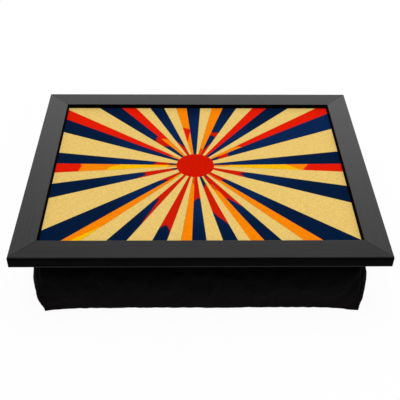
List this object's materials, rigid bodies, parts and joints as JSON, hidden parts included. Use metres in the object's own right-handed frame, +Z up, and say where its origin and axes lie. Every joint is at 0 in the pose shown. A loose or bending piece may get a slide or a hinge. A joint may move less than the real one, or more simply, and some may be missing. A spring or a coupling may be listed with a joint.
{
  "type": "lap tray",
  "caption": "Breakfast tray for the lap: a shallow mitred frame round a printed panel, on a bead-filled box cushion that lifts off.",
  "frame": {"origin": "on the surface that the cushion stands on, below the middle of the tray", "axes": "+X along the tray's long side, -Y towards the user, +Z up"},
  "size_m": [0.43, 0.34, 0.096],
  "materials": {
    "frame_wood": "satin charcoal paint over fine grain",
    "printed_laminate": "matte laminate with a linen texture, printed with a sunburst of rays",
    "hardboard": "bare brown hardboard",
    "steel": "bright steel strip",
    "hook_tape": "black hook tape",
    "loop_tape": "black loop tape",
    "cover_cloth": "black woven cotton, matte",
    "liner_cloth": "white cotton bag of beads",
    "beads": "loose white polystyrene beads",
    "zip_tape": "black woven zip tape",
    "zip_coil": "black nylon coil",
    "zip_metal": "black painted zinc"
  },
  "bodies": {
    "cushion": {"cover_top": "cover_cloth", "cover_bottom": "cover_cloth", "cover_front": "cover_cloth", "cover_left": "cover_cloth", "cover_right": "cover_cloth", "cover_back_upper": "cover_cloth", "cover_back_lower": "cover_cloth", "liner_bag": "liner_cloth", "bead_fill": "beads", "loop_strip_1": "loop_tape", "loop_strip_2": "loop_tape", "loop_strip_3": "loop_tape", "loop_strip_4": "loop_tape", "zip_tape_upper": "zip_tape", "zip_tape_lower": "zip_tape", "zip_coil_upper": "zip_coil", "zip_coil_lower": "zip_coil", "zip_bottom_stop": "zip_metal", "zip_top_stop_upper": "zip_metal", "zip_top_stop_lower": "zip_metal"},
    "tray": {"frame_rail_front": "frame_wood", "frame_rail_back": "frame_wood", "frame_rail_left": "frame_wood", "frame_rail_right": "frame_wood", "print_laminate": "printed_laminate", "panel_board": "hardboard", "backing_board": "hardboard", "v_nail_1": "steel", "v_nail_2": "steel", "v_nail_3": "steel", "v_nail_4": "steel", "v_nail_5": "steel", "v_nail_6": "steel", "v_nail_7": "steel", "v_nail_8": "steel", "framer_point_1": "steel", "framer_point_2": "steel", "framer_point_3": "steel", "framer_point_4": "steel", "framer_point_5": "steel", "framer_point_6": "steel", "framer_point_7": "steel", "framer_point_8": "steel", "framer_point_9": "steel", "framer_point_10": "steel", "hook_strip_1": "hook_tape", "hook_strip_2": "hook_tape", "hook_strip_3": "hook_tape", "hook_strip_4": "hook_tape"},
    "zip_slider": {"zip_slider": "zip_metal"},
    "zip_pull": {"zip_pull": "zip_metal"}
  },
  "joints": [
    {"name": "tray_lift", "type": "slide", "parent": "cushion", "child": "tray", "axis": [0, 0, 1], "range_m": [0, 0.15]},
    {"name": "zip_slide", "type": "slide", "parent": "cushion", "child": "zip_slider", "axis": [-1, 0, 0], "range_m": [0, 0.2844]},
    {"name": "zip_pull_swing", "type": "hinge", "parent": "zip_slider", "child": "zip_pull", "pos_m": [0.1422, 0.1662, 0.042], "axis": [0, 0, -1], "range_deg": [0, 180]}
  ]
}
